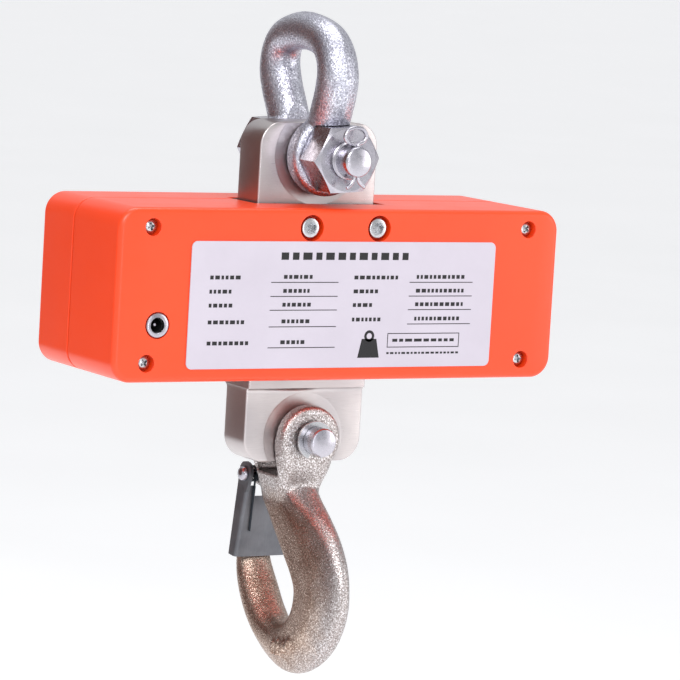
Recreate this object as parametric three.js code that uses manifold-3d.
// Compact hanging crane scale: bow shackle, aluminium load cell, two-part
// moulded case with electronics, clevis hook with a sprung latch.
// Millimetres, +Z up, label side faces -Y, display side faces +Y.
// The origin is the bearing point on the inside of the shackle crown.
import * as THREE from "three";
import { mergeVertices } from "three/addons/utils/BufferGeometryUtils.js";
import Module from "manifold-3d";

const wasm = await Module();
wasm.setup();

// ---------------------------------------------------------------- dimensions
const GAP = 0.3; // clearance between neighbouring pieces
const FACETS = 0.6; // share of the nominal facet count on round surfaces
const CASE_W = 250.5,
  CASE_D = 82.4,
  CASE_H = 85; // outside of the moulded case
const CASE_R = 10.5,
  CASE_EDGE = 2.6,
  CASE_WALL = 3;
const PARTING_Y = 7.4; // joint face between the two shells
const CELL_W = 67,
  CELL_T = 21,
  CELL_TOP = 82.7,
  CELL_BOTTOM = -87.8,
  CELL_R = 12;
const CORE_W = 67.4,
  CORE_T = 25,
  CORE_HALF = 51.5, // thicker middle of the load cell, from here
  CORE_TOP = 38; // up to here, inside the case
const PIN_TOP_Z = 66.5,
  PIN_LOW_Z = -75.2; // heights of the two pin axes
const BOLT_R = 9.5,
  BOLT_TIP_R = 7.5,
  HOOK_PIN_R = 7.2;
const NUT_AF = 32,
  NUT_T = 17.2,
  HEAD_AF = 30,
  HEAD_T = 19;
const EAR_IN = 11,
  EAR_OUT = 22,
  EAR_R = 20; // shackle ears, along Y
const BOW_R = 10,
  BOW_CROWN_Z = 61.6,
  BOW_TILT = -3.7; // degrees about Y, crown leans to -X
const CROWN_SEAT = 51.6; // pin axis to the inside of the crown
const HOOK_EAR_R = 16.8,
  HOOK_EAR_OUT = 20.5,
  HOOK_HALF_T = 10, // half thickness of the hook along X
  HOOK_ROUND = 2.4; // rounding of its forged edges
const SCREW_X = 107,
  SCREW_Z = 33;
const CELL_BOLT_X = 19.2,
  CELL_BOLT_Z = 33;
const JACK_X = -102,
  JACK_Z = -14.5;
const LABEL_X0 = -85.7,
  LABEL_X1 = 87.6,
  LABEL_Z0 = -36,
  LABEL_Z1 = 26.5;
const LATCH_Y = 24,
  LATCH_Z = -99; // latch pivot, axis along X
const LATCH_TILT = 6; // degrees
const DIGITS = 5,
  DIGIT_PITCH = 27,
  DIGIT_W = 24,
  DIGIT_H = 34,
  DISPLAY_Z = 12;
const BUTTONS = 4,
  BUTTON_PITCH = 34,
  BUTTON_R = 6,
  BUTTON_Z = -27;

// ------------------------------------------------------------------- helpers
const rad = (d) => (d * Math.PI) / 180;
const around = (n) => Math.max(8, Math.round((n * FACETS) / 2) * 2);
function solid(geometry) {
  const g = geometry.clone();
  g.deleteAttribute("normal");
  g.deleteAttribute("uv");
  const m = mergeVertices(g, 1e-4);
  return new wasm.Manifold(
    new wasm.Mesh({
      numProp: 3,
      vertProperties: new Float32Array(m.attributes.position.array),
      triVerts: new Uint32Array(m.index.array),
    }),
  );
}
function geometryOf(body) {
  const m = body.getMesh();
  const g = new THREE.BufferGeometry();
  g.setAttribute("position", new THREE.BufferAttribute(m.vertProperties, 3));
  g.setIndex(new THREE.BufferAttribute(m.triVerts, 1));
  const flat = g.toNonIndexed();
  flat.computeVertexNormals();
  return flat;
}
const join = (...s) => s.reduce((a, b) => a.add(b));
const cut = (a, ...s) => s.reduce((p, b) => p.subtract(b), a);
function box(x0, x1, y0, y1, z0, z1) {
  return solid(
    new THREE.BoxGeometry(x1 - x0, y1 - y0, z1 - z0).translate(
      (x0 + x1) / 2,
      (y0 + y1) / 2,
      (z0 + z1) / 2,
    ),
  );
}
// Round bars along Y, X and Z.
function barY(r, y0, y1, x = 0, z = 0, n = 32, r2 = r) {
  return solid(
    new THREE.CylinderGeometry(r2, r, y1 - y0, around(n)).translate(
      x,
      (y0 + y1) / 2,
      z,
    ),
  );
}
function barX(r, x0, x1, y = 0, z = 0, n = 24) {
  return solid(
    new THREE.CylinderGeometry(r, r, x1 - x0, around(n))
      .rotateZ(-Math.PI / 2)
      .translate((x0 + x1) / 2, y, z),
  );
}
function barZ(r, z0, z1, x = 0, y = 0, n = 20) {
  return solid(
    new THREE.CylinderGeometry(r, r, z1 - z0, around(n))
      .rotateX(Math.PI / 2)
      .translate(x, y, (z0 + z1) / 2),
  );
}
// A body of revolution about an axis along Y; the profile is [radius, y].
function turnY(profile, x = 0, z = 0, n = 32) {
  return solid(
    new THREE.LatheGeometry(
      profile.map((p) => new THREE.Vector2(p[0], p[1])),
      around(n),
    ).translate(x, 0, z),
  );
}
function roundRect(x0, x1, z0, z1, r) {
  const s = new THREE.Shape();
  s.moveTo(x0 + r, z0);
  s.lineTo(x1 - r, z0);
  s.absarc(x1 - r, z0 + r, r, -Math.PI / 2, 0, false);
  s.lineTo(x1, z1 - r);
  s.absarc(x1 - r, z1 - r, r, 0, Math.PI / 2, false);
  s.lineTo(x0 + r, z1);
  s.absarc(x0 + r, z1 - r, r, Math.PI / 2, Math.PI, false);
  s.lineTo(x0, z0 + r);
  s.absarc(x0 + r, z0 + r, r, Math.PI, 1.5 * Math.PI, false);
  return s;
}
// A plate whose outline lies in XZ and whose thickness runs from y0 to y1.
function plateXZ(shape, y0, y1, edge = 0, curve = 6, steps = 3) {
  const g = new THREE.ExtrudeGeometry(shape, {
    depth: y1 - y0 - 2 * edge,
    bevelEnabled: edge > 0,
    bevelSize: edge,
    bevelThickness: edge,
    bevelOffset: -edge,
    bevelSegments: steps,
    curveSegments: curve,
  });
  g.translate(0, 0, -(y1 - edge));
  g.rotateX(Math.PI / 2);
  return solid(g);
}
// A plate whose outline lies in YZ and whose thickness runs from x0 to x1.
function plateYZ(shape, x0, x1, edge = 0, curve = 6, steps = 3, inset = edge) {
  const g = new THREE.ExtrudeGeometry(shape, {
    depth: x1 - x0 - 2 * edge,
    bevelEnabled: edge > 0,
    bevelSize: inset,
    bevelThickness: edge,
    bevelOffset: -inset,
    bevelSegments: steps,
    curveSegments: curve,
  });
  g.translate(0, 0, x0 + edge);
  g.applyMatrix4(
    new THREE.Matrix4().makeBasis(
      new THREE.Vector3(0, 1, 0),
      new THREE.Vector3(0, 0, 1),
      new THREE.Vector3(1, 0, 0),
    ),
  );
  return solid(g);
}
// A round bar of radius r swept along points.
function rod(points, r, steps, sides = 12, closed = false) {
  const path = new THREE.CatmullRomCurve3(
    points.map((p) => new THREE.Vector3(...p)),
    closed,
    "centripetal",
  );
  const s = new THREE.Shape();
  for (let i = 0; i < sides; i++) {
    const a = (2 * Math.PI * i) / sides;
    if (i) s.lineTo(r * Math.cos(a), r * Math.sin(a));
    else s.moveTo(r, 0);
  }
  return solid(
    new THREE.ExtrudeGeometry(s, {
      extrudePath: path,
      steps,
      bevelEnabled: false,
    }),
  );
}
function hexPrism(af, y0, y1, x = 0, z = 0, chamfer = 1.2) {
  const r = af / Math.sqrt(3);
  const g = new THREE.CylinderGeometry(r, r, y1 - y0, 6)
    .rotateY(Math.PI / 2) // corners to the left and right
    .translate(x, (y0 + y1) / 2, z);
  const body = solid(g);
  // The corners are turned off on both faces.
  const c = chamfer;
  const profile = [
    [0, y0],
    [af / 2 - 0.2, y0],
    [r + 0.1, y0 + c],
    [r + 0.1, y1 - c],
    [af / 2 - 0.2, y1],
    [0, y1],
  ];
  return body.intersect(turnY(profile, x, z, 36));
}

const part = new THREE.Group();
const scale = new THREE.Group(); // case-centred frame
part.add(scale);
const shackle = new THREE.Group(); // upper pin frame, leaning as it hangs
shackle.position.set(0, 0, PIN_TOP_Z);
shackle.rotation.y = rad(BOW_TILT);
scale.add(shackle);

const LOOK = {
  galvanised: { color: 0xb4b8c2, roughness: 0.45, metalness: 0.9 },
  zinc: { color: 0xc2c8d0, roughness: 0.3, metalness: 1 },
  forged: { color: 0xa89a88, roughness: 0.5, metalness: 0.85 },
  sheet: { color: 0x8a939c, roughness: 0.45, metalness: 0.8 },
  aluminium: { color: 0xc9c4c4, roughness: 0.35, metalness: 0.9 },
  orange: { color: 0xf8562c, roughness: 0.35, metalness: 0 },
  rubber: { color: 0x26282a, roughness: 0.85, metalness: 0 },
  label: { color: 0xe6e2ee, roughness: 0.4, metalness: 0 },
  steel: { color: 0xb9bcc0, roughness: 0.3, metalness: 1 },
  black: { color: 0x17181a, roughness: 0.5, metalness: 0 },
  board: { color: 0x1f5a3a, roughness: 0.5, metalness: 0 },
  window: { color: 0x3a0c10, roughness: 0.1, metalness: 0 },
  digit: { color: 0xd9dbd8, roughness: 0.4, metalness: 0 },
  battery: { color: 0x3c4148, roughness: 0.6, metalness: 0 },
  tape: { color: 0xc8a040, roughness: 0.5, metalness: 0 },
};
function piece(name, body, look, parent = scale) {
  const material = new THREE.MeshStandardMaterial(LOOK[look]);
  material.name = look;
  const mesh = new THREE.Mesh(geometryOf(body), material);
  mesh.name = name;
  parent.add(mesh);
  return mesh;
}

// ------------------------------------------------------------------- shackle
// Bow: ears on the pin axis, legs that swell out of the ears, flattened crown.
const legSide = [
  [17.2, 4],
  [18.8, 12],
  [22.6, 21],
  [27.0, 31],
  [29.4, 41],
  [26.4, 51.5],
  [17.5, 58.8],
];
const bowPath = [
  ...legSide.map(([y, z]) => [0, -y, z]),
  [0, 0, BOW_CROWN_Z],
  ...legSide
    .slice()
    .reverse()
    .map(([y, z]) => [0, y, z]),
];
const earProfile = (a, b, c = 1.6) => [
  [0, a],
  [EAR_R - c, a],
  [EAR_R, a + c],
  [EAR_R, b - c],
  [EAR_R - c, b],
  [0, b],
];
let bow = rod(bowPath, BOW_R, 30, 12);
bow = join(
  bow,
  turnY(earProfile(-EAR_OUT, -EAR_IN), 0, 0, 36),
  turnY(earProfile(EAR_IN, EAR_OUT), 0, 0, 36),
);
bow = cut(
  bow,
  barY(BOLT_R + GAP, -40, 40),
  box(-30, 30, -EAR_IN, EAR_IN, -30, 17.6),
  box(-30, 30, -60, -EAR_OUT, -30, 0),
  box(-30, 30, EAR_OUT, 60, -30, 0),
  barY(19.3, -44, -EAR_OUT, 0, 0, 36),
  barY(21, EAR_OUT, 46, 0, 0, 36),
);
piece("shackle_bow", bow, "galvanised", shackle);

const NUT_Y0 = -EAR_OUT - GAP - NUT_T,
  NUT_Y1 = -EAR_OUT - GAP;
const WASHER_Y1 = EAR_OUT + GAP + 2.5;
let bolt = join(
  barY(BOLT_R, NUT_Y0 - 3, WASHER_Y1 + 1, 0, 0, 36),
  turnY(
    [
      [0, -50.4],
      [BOLT_TIP_R - 1, -50.4],
      [BOLT_TIP_R, -49.4],
      [BOLT_TIP_R, NUT_Y0 - 2],
      [0, NUT_Y0 - 2],
    ],
    0,
    0,
    32,
  ),
  hexPrism(HEAD_AF, WASHER_Y1 + GAP, WASHER_Y1 + GAP + HEAD_T),
);
bolt = cut(bolt, barZ(2.5, -12, 12, 0, -46.6, 16));
piece("shackle_bolt", bolt, "zinc", shackle);
piece(
  "shackle_nut",
  cut(hexPrism(NUT_AF, NUT_Y0, NUT_Y1), barY(BOLT_R + GAP, -60, 0, 0, 0, 32)),
  "zinc",
  shackle,
);
piece(
  "shackle_washer",
  cut(
    barY(17.4, EAR_OUT + GAP, WASHER_Y1, 0, 0, 36),
    barY(BOLT_R + GAP, 0, 60, 0, 0, 32),
  ),
  "zinc",
  shackle,
);
// Split pin through the bolt tip: eye above, legs opened below.
piece(
  "shackle_cotter_pin",
  rod(
    [
      [4.6, -46.6, -12.6],
      [2.2, -46.6, -10.4],
      [1.1, -46.6, -7.5],
      [1.1, -46.6, 0],
      [1.1, -46.6, 7.6],
      [4.4, -46.6, 9.6],
      [6.0, -46.6, 12.4],
      [4.0, -46.6, 15.6],
      [0, -46.6, 16.8],
      [-4.0, -46.6, 15.6],
      [-6.0, -46.6, 12.4],
      [-4.4, -46.6, 9.6],
      [-1.1, -46.6, 7.6],
      [-1.1, -46.6, 0],
      [-1.1, -46.6, -7.5],
      [-2.2, -46.6, -10.4],
      [-4.6, -46.6, -12.6],
    ],
    0.95,
    38,
    6,
  ),
  "zinc",
  shackle,
);

// ----------------------------------------------------------------- load cell
const cellShape = roundRect(
  -CELL_W / 2,
  CELL_W / 2,
  CELL_BOTTOM,
  CELL_TOP,
  CELL_R,
);
let cell = join(
  plateXZ(cellShape, -CELL_T / 2, CELL_T / 2, 0.7, 7, 1),
  plateXZ(
    roundRect(-CORE_W / 2, CORE_W / 2, -CORE_HALF, CORE_TOP, 2),
    -CORE_T / 2,
    CORE_T / 2,
    0.8,
    3,
    1,
  ),
);
cell = cut(
  cell,
  barY(BOLT_R + GAP, -20, 20, 0, PIN_TOP_Z, 36),
  barY(HOOK_PIN_R + GAP, -20, 20, 0, PIN_LOW_Z, 32),
  // shallow machined faces round the two pin holes
  barY(25, -20, -CELL_T / 2 + 0.4, 0, PIN_TOP_Z, 44).subtract(
    barY(40, -30, -CORE_T, 0, 0, 8),
  ),
  barY(22.5, -20, -CELL_T / 2 + 0.4, 0, PIN_LOW_Z, 44),
  barY(25, CELL_T / 2 - 0.4, 20, 0, PIN_TOP_Z, 44),
  barY(22.5, CELL_T / 2 - 0.4, 20, 0, PIN_LOW_Z, 44),
  // sensing pockets on both faces, a thin web between them
  barY(17, -30, -3, 0, -6, 36),
  barY(17, 3, 30, 0, -6, 36),
  // tapped holes for the case bolts
  barY(3.3, -30, 2, -CELL_BOLT_X, CELL_BOLT_Z, 16),
  barY(3.3, -30, 2, CELL_BOLT_X, CELL_BOLT_Z, 16),
);
piece("load_cell", cell, "aluminium");
for (const [name, a, b] of [
  ["gauge_potting_front", -7, -3 - GAP],
  ["gauge_potting_rear", 3 + GAP, 7],
])
  piece(name, barY(17 - GAP, a, b, 0, -6, 32), "label");
for (const [name, a, b] of [
  ["gauge_cover_front", -14, -12.8],
  ["gauge_cover_rear", 12.8, 14],
])
  piece(name, plateXZ(roundRect(-21, 21, -27, 15, 5), a, b, 0, 3), "steel");

// ---------------------------------------------------------------- case shells
const outer = plateXZ(
  roundRect(-CASE_W / 2, CASE_W / 2, -CASE_H / 2, CASE_H / 2, CASE_R),
  -CASE_D / 2,
  CASE_D / 2,
  CASE_EDGE,
  4,
  2,
);
const inner = plateXZ(
  roundRect(
    -CASE_W / 2 + CASE_WALL,
    CASE_W / 2 - CASE_WALL,
    -CASE_H / 2 + CASE_WALL,
    CASE_H / 2 - CASE_WALL,
    CASE_R - CASE_WALL,
  ),
  -CASE_D / 2 + CASE_WALL,
  CASE_D / 2 - CASE_WALL,
  0,
  4,
);
// Slot for the load cell with its rubber seals, through top and bottom walls.
const slot = plateXZ(
  roundRect(-CORE_W / 2 - 2.6, CORE_W / 2 + 2.6, -60, 60, 2),
  -CORE_T / 2 - 2.6,
  CORE_T / 2 + 2.6,
  0,
  3,
);
const GASKET = 0.9; // gasket thickness, squeezed between the shells
const frontY = PARTING_Y - GASKET / 2 - 0.05,
  rearY = PARTING_Y + GASKET / 2 + 0.05;
const corners = [
  [-SCREW_X, SCREW_Z],
  [SCREW_X, SCREW_Z],
  [-SCREW_X, -SCREW_Z],
  [SCREW_X, -SCREW_Z],
];
const FRONT = -CASE_D / 2,
  REAR = CASE_D / 2;
let front = cut(outer.intersect(box(-200, 200, -100, frontY, -100, 100)), inner);
for (const [x, z] of corners) {
  front = front.add(
    barY(7.4, FRONT + 2, frontY, x, z, 20).intersect(
      outer.intersect(box(-200, 200, -100, frontY, -100, 100)),
    ),
  );
  // corner posts are tied to the side and end walls
  front = front.add(
    box(
      Math.min(x, Math.sign(x) * 122),
      Math.max(x, Math.sign(x) * 122),
      FRONT + 2,
      frontY,
      z - 1,
      z + 1,
    ),
  );
}
// bushes for the two load-cell bolts
for (const x of [-CELL_BOLT_X, CELL_BOLT_X])
  front = front.add(
    barY(8.6, FRONT + 2, -CORE_T / 2 - GAP, x, CELL_BOLT_Z, 24),
  );
front = cut(front, slot);
for (const [x, z] of corners)
  front = cut(
    front,
    barY(4.3, FRONT - 5, FRONT + 5, x, z, 24),
    barY(2.2, FRONT, 60, x, z, 16),
  );
for (const x of [-CELL_BOLT_X, CELL_BOLT_X])
  front = cut(
    front,
    barY(6.5, FRONT - 5, FRONT + 6.5, x, CELL_BOLT_Z, 28),
    barY(3.4, FRONT, 60, x, CELL_BOLT_Z, 18),
  );
front = cut(
  front,
  barY(6.6, FRONT - 5, FRONT + 1.6, JACK_X, JACK_Z, 28),
  barY(5.1, FRONT - 5, FRONT + 10, JACK_X, JACK_Z, 28),
);
// posts for the main board and the battery tray ribs
const mainPosts = [
  [-92, -30],
  [-92, 20],
  [-42, -30],
  [-42, 20],
];
for (const [x, z] of mainPosts)
  front = front.add(
    cut(
      barY(3, FRONT + 2, -30, x, z, 14),
      barY(1.3, -36, -29, x, z, 10),
    ),
  );
front = front.add(box(44.3, 46.3, FRONT + 2, 2, -40, 40)).add(
  box(98.8, 100.6, FRONT + 2, 2, -22, 22),
);
piece("label_side_shell", front, "orange");

let rear = cut(outer.intersect(box(-200, 200, rearY, 100, -100, 100)), inner);
for (const [x, z] of corners) {
  rear = rear.add(barY(7.4, rearY, REAR - 2, x, z, 20));
  rear = rear.add(
    box(
      Math.min(x, Math.sign(x) * 122),
      Math.max(x, Math.sign(x) * 122),
      rearY,
      REAR - 2,
      z - 1,
      z + 1,
    ),
  );
}
rear = rear.intersect(outer);
rear = cut(rear, slot);
for (const [x, z] of corners)
  rear = cut(rear, barY(2.1, 0, rearY + 18, x, z, 14));
// display opening with a step for the window, button openings
const winX = (DIGITS * DIGIT_PITCH) / 2 + 6,
  winZ = DIGIT_H / 2 + 5;
rear = cut(
  rear,
  plateXZ(
    roundRect(-winX, winX, DISPLAY_Z - winZ, DISPLAY_Z + winZ, 4),
    REAR - 1.6,
    REAR + 5,
    0,
    4,
  ),
  plateXZ(
    roundRect(-winX + 3, winX - 3, DISPLAY_Z - winZ + 3, DISPLAY_Z + winZ - 3, 2),
    REAR - 8,
    REAR + 5,
    0,
    4,
  ),
);
const buttonX = [...Array(BUTTONS)].map(
  (_, i) => (i - (BUTTONS - 1) / 2) * BUTTON_PITCH,
);
for (const x of buttonX)
  rear = cut(rear, barY(BUTTON_R + 0.4, REAR - 8, REAR + 5, x, BUTTON_Z, 24));
const boardPosts = [
  [-86, -32],
  [86, -32],
  [-86, 34],
  [86, 34],
];
for (const [x, z] of boardPosts)
  rear = rear.add(
    cut(
      barY(3, 28.4, REAR - 2, x, z, 14),
      barY(1.3, 27, 33, x, z, 10),
    ),
  );
piece("display_side_shell", rear, "orange");

// Gasket: a flat ring along the joint face, open where the cell passes.
const gasketShape = (g) =>
  roundRect(
    -CASE_W / 2 + g,
    CASE_W / 2 - g,
    -CASE_H / 2 + g,
    CASE_H / 2 - g,
    CASE_R - g,
  );
let gasket = cut(
  plateXZ(gasketShape(0.7), PARTING_Y - 0.35, PARTING_Y + 0.35, 0, 6),
  plateXZ(gasketShape(2.6), PARTING_Y - 5, PARTING_Y + 5, 0, 6),
);
gasket = cut(
  gasket,
  box(-CORE_W / 2 - 3, CORE_W / 2 + 3, 0, 20, 20, 60),
);
piece(
  "case_gasket_right",
  gasket
    .subtract(box(-CORE_W / 2 - 3, CORE_W / 2 + 3, 0, 20, -60, -20))
    .intersect(box(0, 200, 0, 20, -60, 60)),
  "rubber",
);
piece(
  "case_gasket_left",
  gasket
    .subtract(box(-CORE_W / 2 - 3, CORE_W / 2 + 3, 0, 20, -60, -20))
    .intersect(box(-200, 0, 0, 20, -60, 60)),
  "rubber",
);
// Collar seals between the cell and the case walls.
function collar(z0, z1, w, t) {
  return cut(
    box(
      -CORE_W / 2 - 2.3,
      CORE_W / 2 + 2.3,
      -CORE_T / 2 - 2.3,
      CORE_T / 2 + 2.3,
      z0,
      z1,
    ),
    box(
      -w / 2 - GAP,
      w / 2 + GAP,
      -t / 2 - GAP,
      t / 2 + GAP,
      z0 - 1,
      z1 + 1,
    ),
  );
}
piece(
  "cell_seal_top",
  collar(CASE_H / 2 - 2.8, CASE_H / 2 - 0.4, CELL_W, CELL_T),
  "rubber",
);
piece(
  "cell_seal_bottom",
  collar(-CASE_H / 2 + 0.4, -CASE_H / 2 + 2.8, CORE_W, CORE_T),
  "rubber",
);

// --------------------------------------------------------- label and fasteners
piece(
  "label_plate",
  plateXZ(
    roundRect(LABEL_X0, LABEL_X1, LABEL_Z0, LABEL_Z1, 3),
    FRONT - 0.7,
    FRONT - 0.1,
    0,
    4,
  ),
  "label",
);
const cross = (x, z, y0, y1, w = 3.6, t = 0.9) =>
  box(x - w / 2, x + w / 2, y0, y1, z - t / 2, z + t / 2).add(
    box(x - t / 2, x + t / 2, y0, y1, z - w / 2, z + w / 2),
  );
corners.forEach(([x, z], i) =>
  piece(
    `case_screw_${i + 1}`,
    cut(
      turnY(
        [
          [0, FRONT + 2.4],
          [1.9, FRONT + 2.5],
          [3.1, FRONT + 3.0],
          [3.7, FRONT + 4.2],
          [3.7, FRONT + 5.0 - GAP],
          [1.8, FRONT + 5.0 - GAP],
          [1.8, rearY + 15],
          [1.2, rearY + 16],
          [0, rearY + 16],
        ],
        x,
        z,
        20,
      ),
      cross(x, z, FRONT, FRONT + 3.8),
    ),
    "steel",
  ),
);
const hexSocket = (x, z, y0, y1, af) =>
  solid(
    new THREE.CylinderGeometry(af / Math.sqrt(3), af / Math.sqrt(3), y1 - y0, 6).translate(
      x,
      (y0 + y1) / 2,
      z,
    ),
  );
[-CELL_BOLT_X, CELL_BOLT_X].forEach((x, i) =>
  piece(
    `cell_bolt_${i ? "right" : "left"}`,
    cut(
      turnY(
        [
          [0, FRONT + 1.2],
          [4.4, FRONT + 1.2],
          [5, FRONT + 1.8],
          [5, FRONT + 6.2],
          [3, FRONT + 6.2],
          [3, -1],
          [2.2, 0],
          [0, 0],
        ],
        x,
        CELL_BOLT_Z,
        26,
      ),
      hexSocket(x, CELL_BOLT_Z, FRONT - 1, FRONT + 4.4, 5),
    ),
    "steel",
  ),
);

// ------------------------------------------------------------- charging socket
piece(
  "charge_socket_body",
  cut(
    join(
      barY(4.8, FRONT + 1.9, FRONT + 13, JACK_X, JACK_Z, 28),
    ),
    barY(3.4, FRONT - 1, FRONT + 11.5, JACK_X, JACK_Z, 24),
  ),
  "black",
);
piece(
  "charge_socket_ring",
  cut(
    turnY(
      [
        [3.7, FRONT - 0.4],
        [5.4, FRONT - 0.4],
        [6.1, FRONT + 0.3],
        [6.1, FRONT + 1.3],
        [3.7, FRONT + 1.3],
        [3.7, FRONT - 0.4],
      ],
      JACK_X,
      JACK_Z,
      32,
    ),
  ),
  "zinc",
);
piece(
  "charge_socket_pin",
  turnY(
    [
      [0, FRONT + 2.4],
      [0.7, FRONT + 2.6],
      [1.05, FRONT + 3.2],
      [1.05, FRONT + 11.3],
      [0, FRONT + 11.3],
    ],
    JACK_X,
    JACK_Z,
    16,
  ),
  "zinc",
);
piece(
  "charge_socket_nut",
  cut(
    hexSocket(JACK_X, JACK_Z, FRONT + 3.2, FRONT + 5.8, 13),
    barY(5.1, FRONT, FRONT + 12, JACK_X, JACK_Z, 28),
  ),
  "zinc",
);

// -------------------------------------------------------------- electronics
piece(
  "main_board",
  cut(
    box(-97, -37, -29.7, -28.1, -35, 25),
    ...mainPosts.map(([x, z]) => barY(1.3, -35, -20, x, z, 10)),
  ),
  "board",
);
piece("processor_module", box(-80, -60, -27.8, -24, -14, 6), "black");
piece("terminal_block", box(-52, -42, -27.8, -17, -22, 8), "board");
mainPosts.forEach(([x, z], i) => {
  if (i % 3) return;
  piece(
    `main_board_screw_${i ? 2 : 1}`,
    turnY(
      [
        [0, -31.5],
        [1, -31.5],
        [1, -27.8],
        [2.4, -27.8],
        [2.4, -26.6],
        [1.6, -26],
        [0, -26],
      ],
      x,
      z,
      14,
    ),
    "steel",
  );
});
piece(
  "display_board",
  cut(
    box(-92, 92, 26.5, 28.1, -37, 38),
    ...boardPosts.map(([x, z]) => barY(1.3, 20, 35, x, z, 10)),
    box(-CORE_W / 2 - 4, CORE_W / 2 + 4, 20, 27.0, 30, 40),
  ),
  "board",
);
boardPosts.forEach(([x, z], i) =>
  piece(
    `display_board_screw_${i + 1}`,
    turnY(
      [
        [0, 24.4],
        [1.6, 24.4],
        [2.4, 25],
        [2.4, 26.2],
        [1, 26.2],
        [1, 31.5],
        [0, 31.5],
      ],
      x,
      z,
      14,
    ),
    "steel",
  ),
);
for (let i = 0; i < DIGITS; i++) {
  const x = (i - (DIGITS - 1) / 2) * DIGIT_PITCH;
  piece(
    `display_digit_${i + 1}`,
    box(
      x - DIGIT_W / 2,
      x + DIGIT_W / 2,
      28.4,
      36.8,
      DISPLAY_Z - DIGIT_H / 2,
      DISPLAY_Z + DIGIT_H / 2,
    ),
    "digit",
  );
}
piece(
  "display_window",
  plateXZ(
    roundRect(
      -winX + GAP,
      winX - GAP,
      DISPLAY_Z - winZ + GAP,
      DISPLAY_Z + winZ - GAP,
      3.7,
    ),
    REAR - 1.4,
    REAR + 0.1,
    0,
    5,
  ),
  "window",
);
// Push buttons: a cap with a flange behind the wall, over a tact switch.
buttonX.forEach((x, i) => {
  piece(
    `button_${i + 1}`,
    turnY(
      [
        [0, 33.6],
        [BUTTON_R + 1.4, 33.6],
        [BUTTON_R + 1.4, REAR - CASE_WALL - GAP],
        [BUTTON_R, REAR - CASE_WALL - GAP],
        [BUTTON_R, REAR + 1.2],
        [BUTTON_R - 1.2, REAR + 2.2],
        [0, REAR + 2.5],
      ],
      x,
      BUTTON_Z,
      26,
    ),
    "rubber",
  );
  piece(
    `button_switch_${i + 1}`,
    box(x - 3, x + 3, 28.4, 31.4, BUTTON_Z - 3, BUTTON_Z + 3),
    "black",
  );
});
piece(
  "battery_pack",
  plateXZ(roundRect(48, 98, -37, 37, 3), -37, 0, 0.8, 3, 1),
  "battery",
);
piece(
  "battery_strap",
  cut(
    box(47.2, 98.4, 0.4, 1.8, -8, 8),
  ),
  "tape",
);
// Cable from the load cell to the terminal block, held inside the case.
piece(
  "cell_cable",
  rod(
    [
      [-22, -16.2, -18],
      [-27, -16.8, -24],
      [-34, -18.5, -27],
      [-38.9, -20, -21],
      [-40.3, -21, -12],
    ],
    1.4,
    12,
    6,
  ),
  "rubber",
);

// ---------------------------------------------------------------------- hook
const hookInner = [
  [20.8, -104.2],
  [11.5, -112.5],
  [2.6, -122],
  [-8.6, -133.5],
  [-17, -142],
  [-22, -148.6],
  [-21.4, -156],
  [-16.5, -165],
  [-6.3, -170.6],
  [4.5, -168.5],
  [13, -162.5],
  [20, -154.5],
  [25.6, -147],
  [28.7, -140],
  [29.9, -135.8],
];
const hookOuter = [
  [34.4, -132.6],
  [38.6, -135.4],
  [40, -141.5],
  [39.6, -151],
  [36, -161.5],
  [30.3, -171],
  [23, -180],
  [13.5, -187.8],
  [3, -192.8],
  [-8, -195.6],
  [-22, -194.5],
  [-35.5, -189.5],
  [-47, -181.5],
  [-55.5, -172],
  [-60.6, -161],
  [-62.2, -150],
  [-60.6, -139],
  [-55, -128.5],
  [-46, -119],
  [-34, -111],
  [-22, -105],
];
const hookShape = new THREE.Shape();
{
  const a = new THREE.SplineCurve(
    hookInner.map(([y, z]) => new THREE.Vector2(y, z)),
  ).getPoints(22);
  const b = new THREE.SplineCurve(
    hookOuter.map(([y, z]) => new THREE.Vector2(y, z)),
  ).getPoints(30);
  const all = [...a, ...b, new THREE.Vector2(-16, -98), new THREE.Vector2(16, -98)];
  hookShape.setFromPoints(all);
}
const hookEar = (a, b, c = 1.5) => [
  [0, a],
  [HOOK_EAR_R - c, a],
  [HOOK_EAR_R, a + c],
  [HOOK_EAR_R, b - c],
  [HOOK_EAR_R - c, b],
  [0, b],
];
const CROTCH = 19.3;
// The section thins from the saddle outwards, as forged hooks do.
const HOOK_TAPER = [
  [0, 10.2],
  [30, 10],
  [38, 8.9],
  [48, 6.9],
  [58, 4.6],
  [62, 3.4],
];
const taper = solid(
  new THREE.LatheGeometry(
    [
      ...HOOK_TAPER.map(([r, x]) => new THREE.Vector2(r, -x)),
      ...HOOK_TAPER.slice()
        .reverse()
        .map(([r, x]) => new THREE.Vector2(r, x)),
    ],
    36,
  )
    .rotateZ(-Math.PI / 2)
    .translate(0, -6, -150),
);
const neckShape = new THREE.Shape(
  [
    [-HOOK_EAR_R + 0.4, PIN_LOW_Z],
    [-HOOK_EAR_R + 1.2, PIN_LOW_Z - 9],
    [-13.4, PIN_LOW_Z - 19],
    [-12, PIN_LOW_Z - 33],
    [12, PIN_LOW_Z - 33],
    [13.4, PIN_LOW_Z - 19],
    [HOOK_EAR_R - 1.2, PIN_LOW_Z - 9],
    [HOOK_EAR_R - 0.4, PIN_LOW_Z],
  ].map(([x, z]) => new THREE.Vector2(x, z)),
);
let neck = plateXZ(neckShape, -HOOK_EAR_OUT, HOOK_EAR_OUT, 1.2, 2, 1);
neck = cut(
  neck,
  box(-30, 30, -60, -15, -120, PIN_LOW_Z - 27),
);
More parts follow.
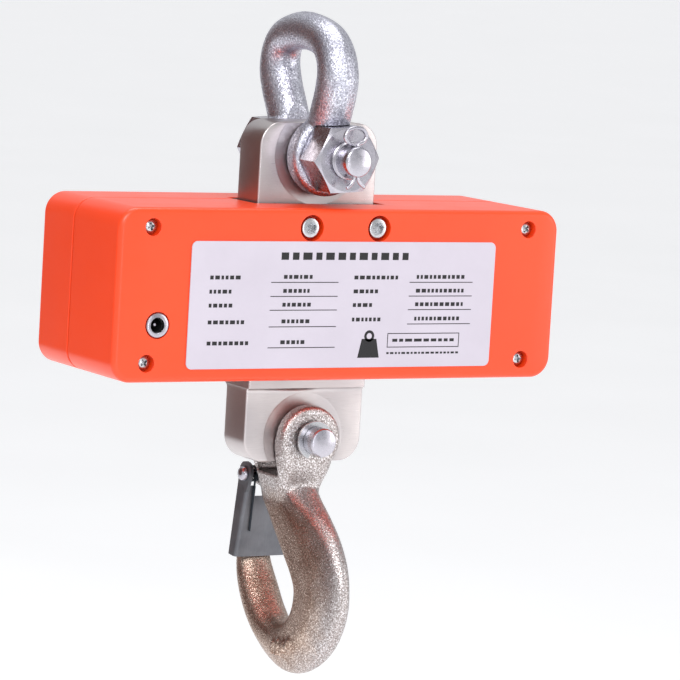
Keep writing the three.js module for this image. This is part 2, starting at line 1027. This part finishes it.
let hook = join(
  plateYZ(hookShape, -HOOK_HALF_T, HOOK_HALF_T, 4.6, 2, 2, HOOK_ROUND).intersect(
    taper,
  ),
  neck,
  turnY(hookEar(-HOOK_EAR_OUT, -EAR_IN), 0, PIN_LOW_Z, 36),
  turnY(hookEar(EAR_IN, HOOK_EAR_OUT), 0, PIN_LOW_Z, 36),
  // lug for the latch pivot
  barX(6.2, -5.2, 8.6, LATCH_Y, LATCH_Z, 24),
  box(-5.2, 8.6, 10, LATCH_Y, LATCH_Z - 6.2, LATCH_Z + 5),
);
hook = cut(
  hook,
  box(-40, 40, -EAR_IN, EAR_IN, PIN_LOW_Z - CROTCH, PIN_LOW_Z + 40),
  barY(HOOK_PIN_R + GAP, -40, 40, 0, PIN_LOW_Z, 32),
  barX(2.3 + GAP, -30, 30, LATCH_Y, LATCH_Z, 16),
  // room for the latch ears and the spring beside the lug
  barX(9.2, 8.6, 30, LATCH_Y, LATCH_Z, 28),
  barX(13, 10.3, 30, LATCH_Y, LATCH_Z, 32),
  barX(10, -30, -5.2, LATCH_Y, LATCH_Z, 28),
  barX(14, -30, -6.8, LATCH_Y, LATCH_Z, 32),
);
piece("hook_body", hook, "forged");
piece(
  "hook_pin",
  cut(
    turnY(
      [
        [0, -32.5],
        [HOOK_PIN_R - 1, -32.5],
        [HOOK_PIN_R, -31.5],
        [HOOK_PIN_R, -24.2],
        [HOOK_PIN_R - 1.4, -24.2],
        [HOOK_PIN_R - 1.4, -22.2],
        [HOOK_PIN_R, -22.2],
        [HOOK_PIN_R, HOOK_EAR_OUT + GAP],
        [HOOK_PIN_R + 3.4, HOOK_EAR_OUT + GAP],
        [HOOK_PIN_R + 3.4, HOOK_EAR_OUT + 4],
        [HOOK_PIN_R + 2.4, HOOK_EAR_OUT + 5],
        [0, HOOK_EAR_OUT + 5],
      ],
      0,
      PIN_LOW_Z,
      32,
    ),
  ),
  "zinc",
);
// Retaining clip in the groove of the hook pin, open at the bottom.
piece(
  "hook_pin_clip",
  cut(
    barY(HOOK_PIN_R + 2.6, -23.9, -22.5, 0, PIN_LOW_Z, 32),
    barY(HOOK_PIN_R - 1.1, -40, 0, 0, PIN_LOW_Z, 32),
    box(-3.2, 3.2, -40, 0, PIN_LOW_Z - 20, PIN_LOW_Z),
  ),
  "steel",
);

// --------------------------------------------------------------------- latch
// Folded sheet channel: web towards the shank, side flanges over the tip.
const LATCH_LEN = 43,
  LATCH_TOP = 6,
  LATCH_FRONT = -3.2,
  LATCH_T = 1.8,
  LATCH_HALF = 12.5; // half width at the pivot
const latchGroup = new THREE.Group();
latchGroup.position.set(0, LATCH_Y, LATCH_Z);
latchGroup.rotation.x = rad(LATCH_TILT);
scale.add(latchGroup);
const latchOutline = (inset, top, bottom) =>
  new THREE.Shape(
    [
      [-LATCH_HALF + inset, top],
      [-LATCH_HALF + inset, -6],
      [-15 + inset, -LATCH_LEN + bottom],
      [15 - inset, -LATCH_LEN + bottom],
      [LATCH_HALF - inset, -6],
      [LATCH_HALF - inset, top],
    ].map(([x, z]) => new THREE.Vector2(x, z)),
  );
const channelSide = new THREE.Shape(
  [
    [LATCH_FRONT, -7],
    [-6, 1],
    [-5.2, 4.6],
    [-2, LATCH_TOP],
    [2.6, LATCH_TOP - 0.4],
    [5.6, 2],
    [5.8, -6],
    [3.4, -LATCH_LEN],
    [LATCH_FRONT, -LATCH_LEN],
  ]
    .reverse()
    .map(([y, z]) => new THREE.Vector2(y, z)),
);
let latch = plateXZ(latchOutline(0, 8, 0), -12, 12).intersect(
  plateYZ(channelSide, -20, 20, 0, 2),
);
latch = cut(
  latch,
  plateXZ(latchOutline(LATCH_T, 12, -4), LATCH_FRONT + LATCH_T, 20),
  box(-LATCH_HALF + LATCH_T, LATCH_HALF - LATCH_T, -20, 20, -7, 20),
  // notch that lets the web swing past the lug
  box(-7, LATCH_HALF - LATCH_T, -20, LATCH_FRONT + LATCH_T, -11.5, 0),
  barX(2.3 + GAP, -20, 20, 0, 0, 16),
);
piece("hook_latch", latch, "sheet", latchGroup);
piece(
  "latch_pin",
  join(
    barX(2.3, -LATCH_HALF - 3.2, LATCH_HALF + 3.2, 0, 0, 18),
    barX(3.7, -LATCH_HALF - 3.2, -LATCH_HALF - GAP, 0, 0, 18),
    barX(3.7, LATCH_HALF + GAP, LATCH_HALF + 3.2, 0, 0, 18),
  ),
  "zinc",
  latchGroup,
);
// Torsion spring round the pin, its long leg lying on the web.
const coil = [];
for (let i = 0; i <= 30; i++) {
  const a = (i / 30) * 2 * Math.PI * 2.25 + rad(180);
  coil.push([-8.3 + (i / 30) * 2.4, 3.7 * Math.cos(a), 3.7 * Math.sin(a)]);
}
piece(
  "latch_spring",
  rod(
    [
      [-8.3, LATCH_FRONT - 0.95, -29],
      [-8.3, LATCH_FRONT - 0.95, -22],
      [-8.3, LATCH_FRONT - 0.95, -14],
      [-8.3, LATCH_FRONT - 0.95, -7],
      ...coil,
    ],
    0.55,
    56,
    5,
  ),
  "black",
  latchGroup,
);

// The whole part hangs from the inside of the shackle crown.
const lean = rad(BOW_TILT);
scale.position.set(
  -CROWN_SEAT * Math.sin(lean),
  0,
  -(PIN_TOP_Z + CROWN_SEAT * Math.cos(lean)),
);

export default part;
